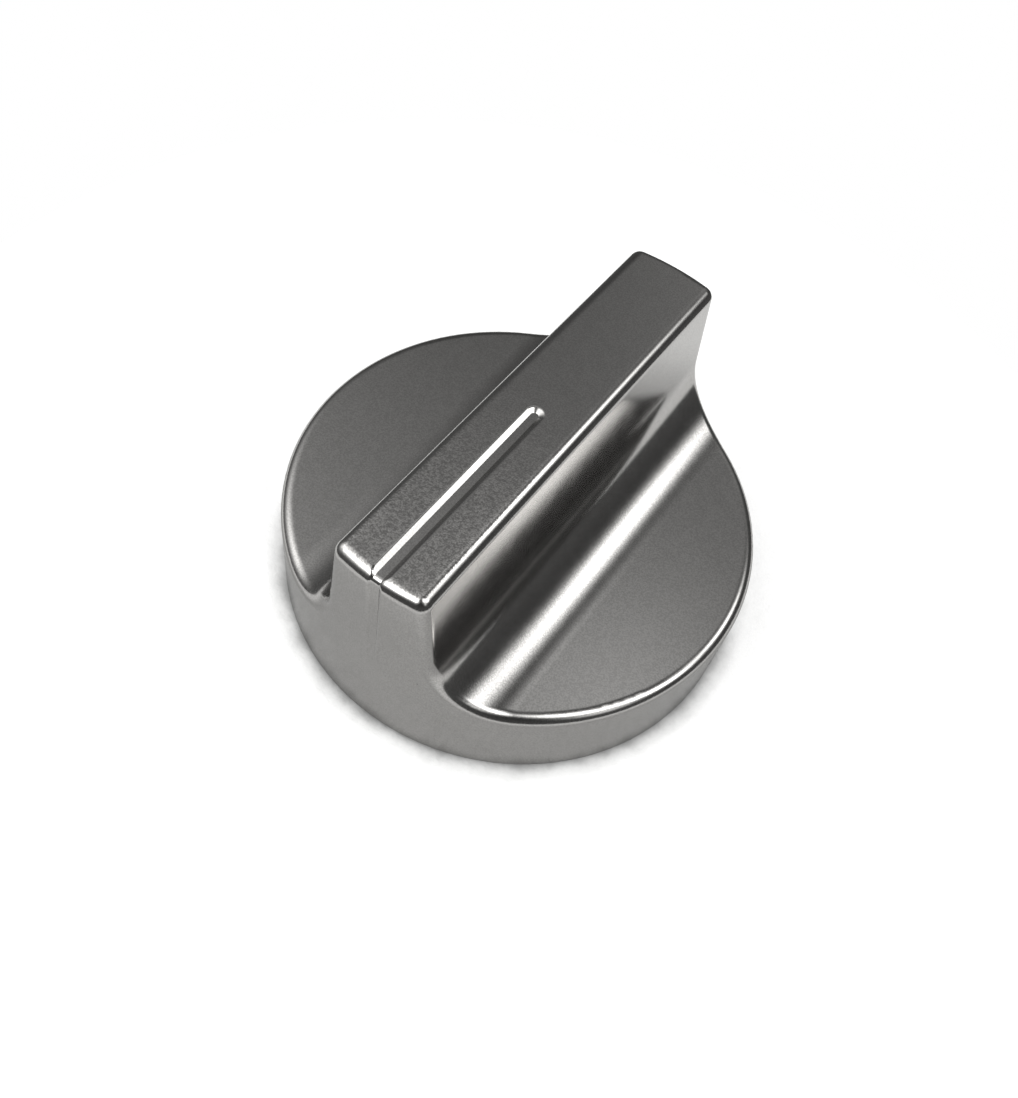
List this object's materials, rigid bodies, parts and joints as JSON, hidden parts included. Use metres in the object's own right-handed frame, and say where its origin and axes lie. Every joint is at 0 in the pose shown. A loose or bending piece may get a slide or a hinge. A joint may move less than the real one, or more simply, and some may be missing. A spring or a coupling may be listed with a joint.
{
  "type": "oven control knob",
  "caption": "Round oven control knob with a straight grip bar, scooped sides, a pointer groove and a cored back with a clip-sprung D-shaft socket.",
  "frame": {"origin": "centre of the foot of the skirt, where it faces the panel", "axes": "+Z along the shaft axis, out of the panel; the grip bar lies along Y, its pointer end at -Y"},
  "size_m": [0.042, 0.042, 0.0222],
  "materials": {
    "satin_nickel": "satin nickel plate over a zinc die casting, fine even grain",
    "spring_steel": "bright rolled spring strip"
  },
  "bodies": {
    "root": {"knob_body": "satin_nickel", "shaft_clip": "spring_steel"}
  },
  "joints": []
}
